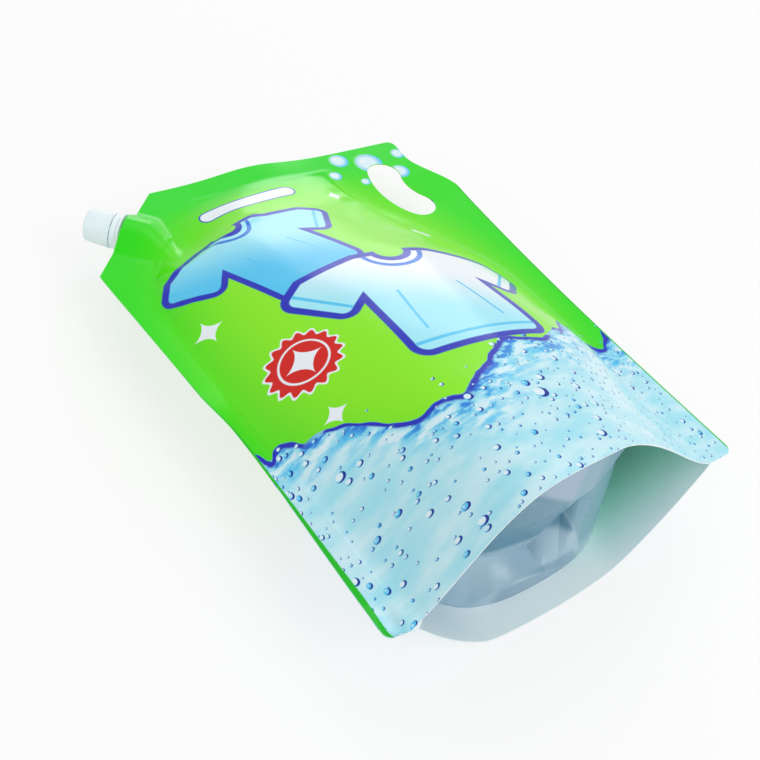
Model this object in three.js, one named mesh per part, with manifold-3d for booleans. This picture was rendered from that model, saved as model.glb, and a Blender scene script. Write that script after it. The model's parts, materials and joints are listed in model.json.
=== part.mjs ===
// A spouted stand-up pouch of liquid laundry detergent, lying on its back with its printed front up.
// Millimetres. X runs across the pouch, Y from its foot to its top, Z out of its front panel.
// The origin lies on the flat patch of the back panel that the pouch rests on, midway up the pouch.
import * as THREE from "three";
import { mergeVertices } from "three/addons/utils/BufferGeometryUtils.js";
import Module from "manifold-3d";

const wasm = await Module();
wasm.setup();

// Film panels, laid flat: u runs across from the middle line, v up from the foot edge
const packWidth = 240;
const packHeight = 300;
const filmPly = 0.3;
const leftSideSeal = 11.5;
const rightSideSeal = 17.5;
const topSeal = 15;
const sealBlend = 14;
const footCornerRadius = 5;

// Top left corner, cut off at 45 degrees for the spout
const spoutCut = 55;
const spoutSeal = 22;
const spoutConeLength = 34;
const spoutConeEnd = 0.2;
const spoutConeLean = 11.5;
const spoutDartStart = 32;
const spoutDartLength = 57;
const spoutDartWidth = 22;
const spoutDartDepth = 0.8;

// Top right corner, sealed flat around the handle hole, with its edge stepped in beside the grip
const gripInset = 19;
const gripTop = 16;
const gripRun = 42;
const gripCornerRadius = 5;
const handleInset = 46.5;
const handleDrop = 45.5;
const handleArcRadius = 34;
const handleArcAngle = 58;
const handleWidth = 21;
const handleLean = 6;
const handleSealInset = 81;
const handleSealTop = 42;
const handleSealDrop = 131;

// The filled pouch as it lies: heights are over the table
const footSpan = 201.6;
const footSeamHeight = 47.5;
const topSeamHeight = 32;
const levelTop = 62;
const frontCrown = 65;
const footSlant = 9.4;
const sideBow = 5;
const leftDroop = 4;
const leftTuck = 4.5;
const leftTuckTop = 150;
const leftTuckRun = 26;
const topWaveHeight = 4;
const topWaveHalfWidth = 28;
const topWaveAt = -2;
const tableBlend = 4;

// Curves of the filled panels: each pair is away from the foot and at the foot
const crownShift = [0, -0.1];
const leftPower = [3, 5];
const leftFullness = [1.15, 2.4];
const rightPower = [2.2, 1.4];
const rightFullness = [1.15, 1.3];
const frontRise = [1.15, 0.85];
const frontFootRun = 100;
const backFootRun = 60;
const backPower = [2.6, 1.9];
const backFullness = [0.75, 1];
const backOverfill = [1.35, 1.25];
const backRise = [5, 0.8];
const seamCurve = 1.2;
const footDrawCurve = 1.4;

// The bottom gusset, recessed between the two foot skirts
const skirtDepth = 13.5;
const gussetDepth = 78;
const gussetSealCurve = 3.2;
const gussetFoldDepth = 4;
const gussetFoldWidth = 1.5;
const gussetFoldPlaces = [-1, -0.4, 0, 0.11, 0.21, 0.6, 1];
const gussetFoldShares = [0.5, 0.76, 0.86, 0.64, 0.17, 0.3, 0.5];
const gussetShelfPlaces = [-1, -0.43, -0.33, -0.19, 0, 0.11, 0.25, 1];
const gussetShelfHeights = [0.5, 1.5, 12, 17, 12, 6, 0.8, 0.5];
const gussetBrowReach = 4;
const gussetBrowPlaces = [-1, -0.41, -0.08, 0.11, 0.21, 1];
const gussetBrowDrops = [1, 28, 48, 40, 8, 1];

// Spout fitment, measured from the cut edge of the film outwards along its axis
const boatHalfWidth = 14;
const boatHalfThickness = 7.6;
const boatLength = 12;
const boatRibs = 3;
const boatRibThickness = 1.8;
const boatRibDepth = 0.6;
const boatFilm = 1.2;
const boatFilmSpread = 5;
const boreRadius = 4.7;
const neckWall = 1.6;
const neckLength = 18;
const flangeStart = 0.8;
const flangeThickness = 1.4;
const flangeRadius = 10.3;
const beadDepth = 0.7;
const beadThickness = 1;

// Screw cap and tamper band
const threadDepth = 0.8;
const capWall = 1.6;
const capTopWall = 1.8;
const capDraft = 1.1;
const capEdgeRadius = 1.2;
const capRibs = 32;
const capRibDepth = 0.5;
const plugLength = 2.6;
const plugWall = 0.9;
const bandWall = 1.9;
const bandLength = 3.2;
const bandLip = 0.8;
const bandGap = 0.5;
const clearance = 0.3;
const overshoot = 1;
const turnSegments = 40;

const rad = THREE.MathUtils.degToRad;
const clamp = THREE.MathUtils.clamp;
const lerp = THREE.MathUtils.lerp;
const mix = ([away, near], share) => lerp(away, near, share);
const smooth = (x) => THREE.MathUtils.smoothstep(x, 0, 1);
const softMax = (a, b, blend) => (a + b + Math.hypot(a - b, blend)) / 2;
const softMin = (a, b, blend) => -softMax(-a, -b, blend);

// Between three.js geometry and closed solids
function toSolid(geometry) {
  const bare = geometry.clone();
  bare.deleteAttribute("normal");
  bare.deleteAttribute("uv");
  const merged = mergeVertices(bare, 1e-4);
  const mesh = new wasm.Mesh({
    numProp: 3,
    vertProperties: merged.getAttribute("position").array,
    triVerts: new Uint32Array(merged.index.array),
  });
  return new wasm.Manifold(mesh);
}

function toGeometry(solid) {
  const mesh = solid.getMesh();
  const geometry = new THREE.BufferGeometry();
  geometry.setAttribute("position", new THREE.BufferAttribute(mesh.vertProperties, 3));
  geometry.setIndex(new THREE.BufferAttribute(mesh.triVerts, 1));
  geometry.computeVertexNormals();
  return geometry;
}

// A closed loft through sections that each have an upper and a lower row of as many points.
// The sections follow each other towards +Y when the rows run towards +X and upper lies over lower.
function loft(sections) {
  const rows = sections[0].upper.length;
  const ring = 2 * rows;
  const positions = [];
  for (const { upper, lower } of sections) {
    for (const point of [...upper, ...lower.toReversed()]) positions.push(point.x, point.y, point.z);
  }
  const faces = [];
  const quad = (a, b, c, d) => faces.push(a, b, c, a, c, d);
  for (let j = 0; j + 1 < sections.length; j++) {
    for (let i = 0; i < ring; i++) {
      const next = (i + 1) % ring;
      quad(j * ring + i, j * ring + next, (j + 1) * ring + next, (j + 1) * ring + i);
    }
  }
  const last = (sections.length - 1) * ring;
  for (let i = 0; i + 1 < rows; i++) {
    quad(ring - 1 - i, ring - 2 - i, i + 1, i);
    quad(last + i, last + i + 1, last + ring - 2 - i, last + ring - 1 - i);
  }
  const geometry = new THREE.BufferGeometry();
  geometry.setAttribute("position", new THREE.Float32BufferAttribute(positions, 3));
  geometry.setIndex(faces);
  return geometry;
}

// Outline of the flat film, and the inner edge of its seals
const halfWidth = packWidth / 2;
const cutStart = packHeight - spoutCut;
const fillTop = packHeight - topSeal;

function roundCorner(distance, radius) {
  const short = Math.max(0, radius - distance);
  return radius - Math.sqrt(radius * radius - short * short);
}

function leftEdge(v) {
  return -halfWidth + Math.max(0, v - cutStart) + roundCorner(v, footCornerRadius);
}

function rightEdge(v) {
  const grip = gripInset * smooth((v - (packHeight - gripTop - gripRun)) / gripRun);
  const corners = roundCorner(v, footCornerRadius) + roundCorner(packHeight - v, gripCornerRadius);
  return halfWidth - grip - corners;
}

function leftSeal(v) {
  const alongCut = -halfWidth + v - cutStart + spoutSeal * Math.SQRT2;
  return softMax(-halfWidth + leftSideSeal, alongCut, sealBlend);
}

function rightSeal(v) {
  const sealStart = packHeight - handleSealDrop;
  const slope = (handleSealInset - rightSideSeal) / (handleSealDrop - handleSealTop);
  const underHandle = halfWidth - rightSideSeal - slope * (v - sealStart);
  const besideHandle = softMax(underHandle, halfWidth - handleSealInset, sealBlend);
  return softMin(halfWidth - rightSideSeal, besideHandle, sealBlend);
}

// Place across the filled part, from -1 at its left seal to 1 at its right seal
function across(u, v) {
  const left = leftSeal(v);
  const right = rightSeal(v);
  return clamp((2 * u - left - right) / (right - left), -1, 1);
}

// A rounded swelling that falls from 1 in its middle to 0 at its edge
function dome(distance, power, fullness) {
  return Math.max(0, 1 - distance ** power) ** fullness;
}

// Film lifted over the spout's boat, and the cone it makes towards the filled part
const boatFilmHalf = boatHalfThickness + clearance + boatFilm;
const boatFilmWidth = boatHalfWidth + clearance + boatFilmSpread;

function spoutPlace(u, v) {
  const fromLeft = u + halfWidth;
  const overCut = v - cutStart;
  const inward = (fromLeft - overCut) / Math.SQRT2;
  const beside = (fromLeft + overCut - spoutCut) / Math.SQRT2;
  return { inward, beside };
}

function spoutCone(u, v) {
  const { inward, beside } = spoutPlace(u, v);
  const along = clamp((inward - boatLength) / (spoutConeLength - boatLength), 0, 1);
  const width = boatFilmWidth * lerp(1, spoutConeEnd, along);
  const offRidge = Math.abs(beside + spoutConeLean * along);
  return boatFilmHalf * dome(offRidge / width, 2, 1.5) * (1 - along);
}

// In line with the spout the front panel starts to fill later, which leaves a dart in it
function spoutDart(u, v) {
  const { inward, beside } = spoutPlace(u, v);
  const unfilled = 1 - smooth((inward - spoutDartStart) / (spoutDartLength - spoutDartStart));
  return 1 - spoutDartDepth * unfilled * Math.exp(-((beside / spoutDartWidth) ** 2));
}

// From 0 at the inner edge of the left side seal to 1 at the film's edge
function overLeftSeal(u, v) {
  return clamp((leftSeal(v) - u) / leftSideSeal, 0, 1);
}

// Height of the seam between the two panels
function seamHeight(u, v) {
  const down = Math.max(0, 1 - v / (packHeight - levelTop));
  const slope = topSeamHeight + (footSeamHeight - topSeamHeight) * down ** seamCurve;
  const wave = Math.exp(-(((u - topWaveAt) / topWaveHalfWidth) ** 2));
  const waveRise = topWaveHeight * wave * smooth((v - cutStart) / spoutCut);
  const droop = leftDroop * overLeftSeal(u, v) * smooth((leftTuckTop - v) / leftTuckRun);
  return slope + waveRise - droop;
}

// Where a point of the flat film ends up: the open foot draws the sides in, and they bow in above it.
// Half way up, the left seal has a kink, under which it is tucked in.
function placed(u, v, slant, z) {
  const underKink = smooth((leftTuckTop - v) / leftTuckRun) * smooth(v / (leftTuckTop - leftTuckRun));
  const tucked = u + leftTuck * overLeftSeal(u, v) * underKink;
  const footShare = 1 - footSpan / packWidth;
  const drawnIn = footShare * Math.max(0, 1 - v / packHeight) ** footDrawCurve;
  const bow = (sideBow / halfWidth) * Math.sin((Math.PI * v) / packHeight);
  const y = v + footSlant * slant * Math.max(0, 1 - v / fillTop);
  return new THREE.Vector3(tucked * (1 - drawnIn - bow), y - packHeight / 2, z);
}

// Section of the front panel: over the foot it stands up steeply on the left and falls evenly to the right
function frontArch(s, nearFoot) {
  const crown = mix(crownShift, nearFoot);
  if (s < crown) {
    return dome((crown - s) / (1 + crown), mix(leftPower, nearFoot), mix(leftFullness, nearFoot));
  }
  return dome((s - crown) / (1 - crown), mix(rightPower, nearFoot), mix(rightFullness, nearFoot));
}

// The front panel is drawn up into an arch over the open foot, and flattens out above it
function frontPoint(u, v) {
  const arch = frontArch(across(u, v), smooth(1 - v / frontFootRun));
  const belly = frontCrown * dome(v / fillTop, ...frontRise) * arch * spoutDart(u, v);
  return placed(u, v, 1, seamHeight(u, v) + filmPly + Math.hypot(belly, spoutCone(u, v)));
}

// The back panel hangs below the seam, over-full so that it presses flat on the table
function backPoint(u, v) {
  const s = Math.abs(across(u, v));
  const nearFoot = smooth(1 - v / backFootRun);
  const hang = dome(s, mix(backPower, nearFoot), mix(backFullness, nearFoot));
  const seam = seamHeight(u, v);
  const belly = mix(backOverfill, nearFoot) * seam * dome(v / fillTop, ...backRise) * hang;
  const depth = filmPly + Math.hypot(belly, spoutCone(u, v));
  return placed(u, v, s * s, onTable(seam - depth));
}

// The filled part presses flat on the table, and leaves it in a smooth curve
function onTable(z) {
  const over = clamp(z + tableBlend, 0, 2 * tableBlend);
  return z > tableBlend ? z : (over * over) / (4 * tableBlend);
}

// Rows and columns of the film
function spaced(from, to, count) {
  return Array.from({ length: count }, (_, i) => from + ((to - from) * i) / count);
}

const bellyColumns = 24;
const leftColumns = 8;
const rightColumns = 3;
const bellyPlaces = Array.from({ length: bellyColumns + 1 }, (_, i) => {
  const even = (2 * i) / bellyColumns - 1;
  return (even + Math.sin((Math.PI / 2) * even)) / 2;
});

function columnsAt(v) {
  const left = leftSeal(v);
  const right = rightSeal(v);
  const belly = bellyPlaces.map((s) => (left + right + s * (right - left)) / 2);
  const rightStrip = spaced(right, rightEdge(v), rightColumns).slice(1);
  return [...spaced(leftEdge(v), left, leftColumns), ...belly, ...rightStrip, rightEdge(v)];
}

const filmRows = [
  0,
  ...spaced(footCornerRadius / 3, gussetDepth, 10),
  ...spaced(gussetDepth, cutStart, 12),
  ...spaced(cutStart, packHeight - gripCornerRadius / 2, 13),
  packHeight - gripCornerRadius / 2,
  packHeight,
];

// The space between the foot skirts, closed inside by the gusset, whose seal runs up the skirts to the sides.
// The liquid pushes the gusset out into a brow above its fold and a shelf below it.
const skirtFilm = 2 * filmPly;
const outside = new THREE.Vector3(0, -skirtDepth, 0);
const skirtSteps = 8;
const gussetPlaces = bellyPlaces.slice(1, -1).toReversed();

function curveThrough(places, values) {
  const line = new THREE.LinearInterpolant(places, values, 1);
  return (s) => line.evaluate(s)[0];
}

const foldShare = curveThrough(gussetFoldPlaces, gussetFoldShares);
const shelfHeight = curveThrough(gussetShelfPlaces, gussetShelfHeights);
const browDrop = curveThrough(gussetBrowPlaces, gussetBrowDrops);

function inset(point, u, v, depth) {
  const step = 0.5;
  const alongU = point(u + step, v).sub(point(u - step, v));
  const alongV = point(u, v + step).sub(point(u, v));
  const normal = alongU.cross(alongV).normalize();
  return point(u, v).addScaledVector(normal, -depth);
}

function gussetSection(s) {
  const seal = lerp(skirtDepth, gussetDepth, Math.abs(s) ** gussetSealCurve);
  const uAt = (v) => (leftSeal(v) + rightSeal(v) + s * (rightSeal(v) - leftSeal(v))) / 2;
  const heights = [...spaced(0, seal, skirtSteps), seal];
  const upper = heights.map((v) => inset(frontPoint, uAt(v), v, skirtFilm));
  const lower = heights.map((v) => inset(backPoint, uAt(v), v, -skirtFilm));
  const front = upper.at(-1);
  const back = lower.at(-1);
  const fold = front.clone().lerp(back, foldShare(s));
  fold.y = Math.max(front.y, back.y) + gussetFoldDepth;
  const foldUpper = fold.clone().setZ(fold.z + gussetFoldWidth / 2);
  const foldLower = fold.clone().setZ(fold.z - gussetFoldWidth / 2);
  const brow = new THREE.Vector3(front.x, front.y - gussetBrowReach * (1 - Math.abs(s)), front.z - browDrop(s));
  const shelf = new THREE.Vector3(back.x, back.y, back.z + shelfHeight(s));
  upper.push(brow, brow.clone().lerp(foldUpper, 1 / 2), foldUpper);
  lower.push(shelf, shelf.clone().lerp(foldLower, 1 / 2), foldLower);
  upper.unshift(upper[0].clone().add(outside));
  lower.unshift(lower[0].clone().add(outside));
  return { upper, lower };
}

function footSpace() {
  return toSolid(loft(gussetPlaces.map(gussetSection)));
}

// The handle hole: a slot bent round the corner, with round ends
function handleHole() {
  const middle = handleArcRadius;
  const half = rad(handleArcAngle) / 2;
  const endRadius = handleWidth / 2;
  const endAt = (angle) => [middle * Math.cos(angle), middle * Math.sin(angle)];
  const slot = new THREE.Shape();
  slot.absarc(0, 0, middle + endRadius, -half, half, false);
  slot.absarc(...endAt(half), endRadius, half, half + Math.PI, false);
  slot.absarc(0, 0, middle - endRadius, half, -half, true);
  slot.absarc(...endAt(-half), endRadius, Math.PI - half, 2 * Math.PI - half, false);
  const depth = footSeamHeight + frontCrown;
  const hole = new THREE.ExtrudeGeometry(slot, { depth, bevelEnabled: false, curveSegments: 14 });
  hole.rotateZ(Math.PI + rad(handleLean));
  const lean = rad(handleLean);
  const x = halfWidth - handleInset + middle * Math.cos(lean);
  const y = packHeight / 2 - handleDrop + middle * Math.sin(lean);
  return toSolid(hole.translate(x, y, 0));
}

function makePouch() {
  const sections = filmRows.map((v) => ({
    upper: columnsAt(v).map((u) => frontPoint(u, v)),
    lower: columnsAt(v).map((u) => backPoint(u, v)),
  }));
  const filled = toSolid(loft(sections));
  return toGeometry(filled.subtract(footSpace()).subtract(handleHole()).subtract(boatPocket()));
}

// The spout's own frame: Z runs out along its axis from the cut edge of the film, X along that edge
function makeSpoutFrame() {
  const onCut = (rise) => placed(rise - halfWidth, cutStart + rise, 1, topSeamHeight);
  const middle = spoutCut / 2;
  const reach = boatHalfWidth / Math.SQRT2;
  const alongCut = onCut(middle + reach).sub(onCut(middle - reach)).normalize();
  const down = new THREE.Vector3(0, 0, -1);
  const outward = alongCut.clone().cross(down);
  const frame = new THREE.Group();
  frame.quaternion.setFromRotationMatrix(new THREE.Matrix4().makeBasis(alongCut, down, outward));
  frame.position.copy(onCut(middle));
  frame.updateMatrix();
  return frame;
}

const spoutFrame = makeSpoutFrame();

// A closed body turned round the spout's axis from [radius, height] points
function turned(profile) {
  const points = profile.map(([radius, height]) => new THREE.Vector2(radius, height));
  const body = new THREE.LatheGeometry(points, turnSegments);
  return toSolid(body.rotateX(Math.PI / 2));
}

// A plate with the boat's pointed outline, from one height on the axis to another
function boatPlate(grow, from, to) {
  const width = boatHalfWidth + grow;
  const thickness = boatHalfThickness + grow;
  const radius = (width * width + thickness * thickness) / (2 * thickness);
  const half = Math.asin(width / radius);
  const outline = new THREE.Shape();
  outline.absarc(0, thickness - radius, radius, Math.PI / 2 - half, Math.PI / 2 + half, false);
  outline.absarc(0, radius - thickness, radius, 1.5 * Math.PI - half, 1.5 * Math.PI + half, false);
  const depth = to - from;
  const plate = new THREE.ExtrudeGeometry(outline, { depth, bevelEnabled: false, curveSegments: 10 });
  return toSolid(plate.translate(0, 0, from));
}

function boatPocket() {
  const pocket = boatPlate(clearance, -boatLength - clearance, flangeStart);
  return pocket.transform(spoutFrame.matrix.elements);
}

// Heights along the spout's axis
const neckRadius = boreRadius + neckWall;
const flangeTop = flangeStart + flangeThickness;
const bandStart = flangeTop + clearance;
const beadStart = bandStart + bandLip + clearance;
const capStart = bandStart + bandLength + bandGap;
const capCeiling = neckLength + clearance;
const capEnd = capCeiling + capTopWall;

function makeSpout() {
  const bead = neckRadius + beadDepth;
  const neck = turned([
    [0, -boatRibThickness],
    [neckRadius, -boatRibThickness],
    [neckRadius, flangeStart],
    [flangeRadius, flangeStart],
    [flangeRadius, flangeTop],
    [neckRadius, flangeTop],
    [neckRadius, beadStart],
    [bead, beadStart],
    [neckRadius, beadStart + beadThickness],
    [neckRadius, neckLength],
    [0, neckLength],
  ]);
  const bore = turned([
    [0, -boatLength - overshoot],
    [boreRadius, -boatLength - overshoot],
    [boreRadius, neckLength + overshoot],
    [0, neckLength + overshoot],
  ]);
  let body = neck.add(boatPlate(-boatRibDepth, -boatLength, 0));
  for (let k = 0; k < boatRibs; k++) {
    const from = -boatLength + ((boatLength - boatRibThickness) * k) / (boatRibs - 1);
    body = body.add(boatPlate(0, from, from + boatRibThickness));
  }
  return toGeometry(body.subtract(bore));
}

function makeTamperBand() {
  const inner = neckRadius + beadDepth + clearance;
  const lip = neckRadius + clearance;
  const outer = inner + bandWall;
  const lipTop = bandStart + bandLip;
  const bandEnd = bandStart + bandLength;
  const section = [
    [lip, bandStart],
    [outer, bandStart],
    [outer, bandEnd],
    [inner, bandEnd],
    [inner, lipTop],
    [lip, lipTop],
    [lip, bandStart],
  ];
  return toGeometry(turned(section));
}

// The cap's ribbed grip, as a straight prism that the cap's turned form then trims
function ribbedPrism(radius, from, to) {
  const pitch = (2 * Math.PI) / capRibs;
  const outline = new THREE.Shape();
  for (let k = 0; k < capRibs; k++) {
    for (const [share, depth] of [[0, capRibDepth], [0.4, capRibDepth], [0.55, 0], [0.85, 0]]) {
      const angle = (k + share) * pitch;
      const reach = radius - depth;
      const place = [reach * Math.cos(angle), reach * Math.sin(angle)];
      if (k === 0 && share === 0) outline.moveTo(...place);
      else outline.lineTo(...place);
    }
  }
  const prism = new THREE.ExtrudeGeometry(outline, { depth: to - from, bevelEnabled: false });
  return toSolid(prism.translate(0, 0, from));
}

function makeCap() {
  const inner = neckRadius + threadDepth + clearance;
  const outer = inner + capWall + capRibDepth;
  const top = outer - capDraft;
  const plugOuter = boreRadius - clearance;
  const plugInner = plugOuter - plugWall;
  const plugEnd = capCeiling - plugLength;
  const edge = [0, 30, 60, 90].map((angle) => [
    top - capEdgeRadius * (1 - Math.cos(rad(angle))),
    capEnd - capEdgeRadius * (1 - Math.sin(rad(angle))),
  ]);
  const form = turned([[0, capStart], [outer, capStart], ...edge, [0, capEnd]]);
  const hollow = turned([
    [0, capStart - overshoot],
    [inner, capStart - overshoot],
    [inner, capCeiling],
    [plugOuter, capCeiling],
    [plugOuter, plugEnd],
    [plugInner, plugEnd],
    [plugInner, capCeiling],
    [0, capCeiling],
  ]);
  return toGeometry(ribbedPrism(outer, capStart, capEnd).intersect(form).subtract(hollow));
}

// The assembled pack: pouch, spout, tamper band and cap
function finish(color, roughness) {
  return new THREE.MeshStandardMaterial({ color, roughness, metalness: 0 });
}

function addPiece(group, name, geometry, material) {
  const piece = new THREE.Mesh(geometry, material);
  piece.name = name;
  group.add(piece);
}

const pack = new THREE.Group();
addPiece(pack, "pouch", makePouch(), finish(0x74e23a, 0.25));
addPiece(spoutFrame, "spout", makeSpout(), finish(0xe9f4f6, 0.4));
addPiece(spoutFrame, "tamper_band", makeTamperBand(), finish(0xe6f3f8, 0.4));
addPiece(spoutFrame, "cap", makeCap(), finish(0xe2f5fc, 0.35));
pack.add(spoutFrame);

export default pack;
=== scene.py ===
from contextlib import contextmanager
import json
import math

import bmesh
import bpy
import numpy as np
from mathutils import Matrix, Vector


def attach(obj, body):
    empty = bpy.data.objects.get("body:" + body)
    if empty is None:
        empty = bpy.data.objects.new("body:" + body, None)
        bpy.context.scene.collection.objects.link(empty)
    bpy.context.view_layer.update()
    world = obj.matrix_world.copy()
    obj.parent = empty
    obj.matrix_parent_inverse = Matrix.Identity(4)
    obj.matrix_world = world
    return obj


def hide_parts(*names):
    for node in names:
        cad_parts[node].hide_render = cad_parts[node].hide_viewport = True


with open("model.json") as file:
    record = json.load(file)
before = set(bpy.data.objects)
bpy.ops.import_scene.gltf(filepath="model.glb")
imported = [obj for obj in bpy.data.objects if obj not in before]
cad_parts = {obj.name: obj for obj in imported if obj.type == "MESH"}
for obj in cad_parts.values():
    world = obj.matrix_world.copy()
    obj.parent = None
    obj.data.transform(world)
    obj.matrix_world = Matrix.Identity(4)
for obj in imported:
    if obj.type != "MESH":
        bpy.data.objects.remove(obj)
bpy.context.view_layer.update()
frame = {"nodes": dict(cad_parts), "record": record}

scene = bpy.context.scene
print("frame loaded:", ", ".join(frame["nodes"]))


# curves that the film shapes are made of
def smooth(x):
    t = np.clip(x, 0, 1)
    return t * t * (3 - 2 * t)


def mix(a, b, share):
    return a + (b - a) * share


def softMax(a, b, blend):
    return (a + b + np.hypot(a - b, blend)) / 2


def softMin(a, b, blend):
    return -softMax(-a, -b, blend)


def dome(distance, power, fullness):
    return np.maximum(0, 1 - np.abs(distance) ** power) ** fullness


def cornerCut(distance, radius):
    return radius - np.sqrt(radius**2 - np.maximum(0, radius - distance) ** 2)


# the laminate pouch, in mm: u across the flat film from its middle line, v up from its foot edge
pouch = {
    "width": 240, "height": 300, "ply": 0.3,
    "leftSideSeal": 11.5, "rightSideSeal": 17.5, "topSeal": 15, "sealBlend": 14, "footCorner": 5,
    "spoutCut": 55, "spoutSeal": 22, "coneStart": 12, "coneLength": 34, "coneEnd": 0.2, "coneLean": 11.5,
    "coneHalf": 9.1, "coneWidth": 19.3, "coneCurve": (2, 1.5),
    "dartStart": 32, "dartLength": 57, "dartWidth": 22, "dartDepth": 0.8,
    "gripInset": 19, "gripTop": 16, "gripRun": 42, "gripCorner": 5,
    "handleSealInset": 81, "handleSealTop": 42, "handleSealDrop": 131,
    "footSpan": 201.6, "footDrawCurve": 1.4, "footSeam": 47.5, "topSeam": 32, "seamCurve": 1.2,
    "levelTop": 62, "crown": 65, "footSlant": 9.4, "sideBow": 5, "tableBlend": 4,
    "leftDroop": 4, "leftTuck": 4.5, "tuckTop": 150, "tuckRun": 26,
    "waveHeight": 4, "waveHalfWidth": 28, "waveAt": -2,
    "curlDepth": 5, "curlInset": 6.8, "curlHalfWidth": 4.2, "curlRise": 24,
    # curves of the panels, away from the foot and at the foot
    "crownShift": (0, -0.1), "leftPower": (3, 5), "leftFullness": (1.15, 2.4),
    "rightPower": (2.2, 1.4), "rightFullness": (1.15, 1.3), "frontRise": (1.15, 0.85), "frontFootRun": 100,
    "backPower": (2.6, 1.9), "backFullness": (0.75, 1), "backOverfill": (1.35, 1.25), "backRise": (5, 0.8),
    "backFootRun": 60, "creaseAngle": 38,
    # points across the film, and up it from the foot's edge to the top edge
    "leftColumns": 16, "bellyColumns": 120, "rightColumns": 14,
    "footRows": (0, 0.4, 1, 1.8, 2.8, 4), "skirtRows": (5, 60, 36), "bellyRows": 104, "cornerRows": 40,
    "topRows": (295, 296.2, 297.4, 298.4, 299.2, 299.7, 300),
}
halfWidth = pouch["width"] / 2
packHeight = pouch["height"]
cutStart = packHeight - pouch["spoutCut"]
fillTop = packHeight - pouch["topSeal"]


def leftEdge(v):
    return -halfWidth + np.maximum(0, v - cutStart) + cornerCut(v, pouch["footCorner"])


def rightEdge(v):
    along = (v - packHeight + pouch["gripTop"] + pouch["gripRun"]) / pouch["gripRun"]
    inset = pouch["gripInset"] * smooth(along)
    footCorner, topCorner = cornerCut(v, pouch["footCorner"]), cornerCut(packHeight - v, pouch["gripCorner"])
    return halfWidth - inset - footCorner - topCorner


def leftSeal(v):
    alongCut = -halfWidth + v - cutStart + pouch["spoutSeal"] * math.sqrt(2)
    return softMax(-halfWidth + pouch["leftSideSeal"], alongCut, pouch["sealBlend"])


def rightSeal(v):
    run = pouch["handleSealDrop"] - pouch["handleSealTop"]
    slope = (pouch["handleSealInset"] - pouch["rightSideSeal"]) / run
    under = halfWidth - pouch["rightSideSeal"] - slope * (v - packHeight + pouch["handleSealDrop"])
    beside = softMax(under, halfWidth - pouch["handleSealInset"], pouch["sealBlend"])
    return softMin(halfWidth - pouch["rightSideSeal"], beside, pouch["sealBlend"])


def acrossFill(u, v):  # -1 at the left seal, 1 at the right seal
    left, right = leftSeal(v), rightSeal(v)
    return np.clip((2 * u - left - right) / (right - left), -1, 1)


def spoutPlace(u, v):  # distance in from the cut corner, and aside of the spout's axis
    left, over = u + halfWidth, v - cutStart
    return (left - over) / math.sqrt(2), (left + over - pouch["spoutCut"]) / math.sqrt(2)


def spoutDart(u, v):  # the fill starts later in line with the spout
    inward, beside = spoutPlace(u, v)
    unfilled = 1 - smooth((inward - pouch["dartStart"]) / (pouch["dartLength"] - pouch["dartStart"]))
    return 1 - pouch["dartDepth"] * unfilled * np.exp(-((beside / pouch["dartWidth"]) ** 2))


def spoutCone(u, v):  # film lifted over the spout
    inward, beside = spoutPlace(u, v)
    along = np.clip((inward - pouch["coneStart"]) / (pouch["coneLength"] - pouch["coneStart"]), 0, 1)
    width = pouch["coneWidth"] * mix(1, pouch["coneEnd"], along)
    ridge = dome((beside + pouch["coneLean"] * along) / width, *pouch["coneCurve"])
    return pouch["coneHalf"] * ridge * (1 - along)


def overLeftSeal(u, v):  # 0 at the seal's inner edge, 1 at the film's edge
    return np.clip((leftSeal(v) - u) / pouch["leftSideSeal"], 0, 1)


def belowKink(v):  # half way up, the left seal has a kink
    return smooth((pouch["tuckTop"] - v) / pouch["tuckRun"])


def seamHeight(u, v):  # height of the seam between the two panels
    down = np.maximum(0, 1 - v / (packHeight - pouch["levelTop"]))
    slope = pouch["topSeam"] + (pouch["footSeam"] - pouch["topSeam"]) * down ** pouch["seamCurve"]
    wave = np.exp(-(((u - pouch["waveAt"]) / pouch["waveHalfWidth"]) ** 2))
    rise = pouch["waveHeight"] * wave * smooth((v - cutStart) / pouch["spoutCut"])
    droop = pouch["leftDroop"] * overLeftSeal(u, v) * belowKink(v)
    # the foot's left corner curls down
    fromCurl = (u - leftEdge(v) - pouch["curlInset"]) / pouch["curlHalfWidth"]
    curl = pouch["curlDepth"] * np.exp(-(fromCurl**2)) * (1 - smooth(v / pouch["curlRise"]))
    return slope + rise - droop - curl


def placed(u, v, slant, z):
    drawn = np.maximum(0, 1 - v / packHeight) ** pouch["footDrawCurve"]
    drawnIn = (1 - pouch["footSpan"] / pouch["width"]) * drawn
    bow = pouch["sideBow"] / halfWidth * np.sin(np.pi * v / packHeight)
    y = v + pouch["footSlant"] * slant * np.maximum(0, 1 - v / fillTop) - packHeight / 2
    tuck = pouch["leftTuck"] * overLeftSeal(u, v) * belowKink(v)
    tuck = tuck * smooth(v / (pouch["tuckTop"] - pouch["tuckRun"]))
    return np.stack(np.broadcast_arrays((u + tuck) * (1 - drawnIn - bow), y, z), -1)


def frontArch(s, nearFoot):  # over the foot it stands up steeply on the left and falls evenly to the right
    crown = mix(*pouch["crownShift"], nearFoot)
    sides = {}
    for side, distance in (("left", (crown - s) / (1 + crown)), ("right", (s - crown) / (1 - crown))):
        power, fullness = mix(*pouch[side + "Power"], nearFoot), mix(*pouch[side + "Fullness"], nearFoot)
        sides[side] = dome(np.maximum(distance, 0), power, fullness)
    return np.where(s < crown, sides["left"], sides["right"])


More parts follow.
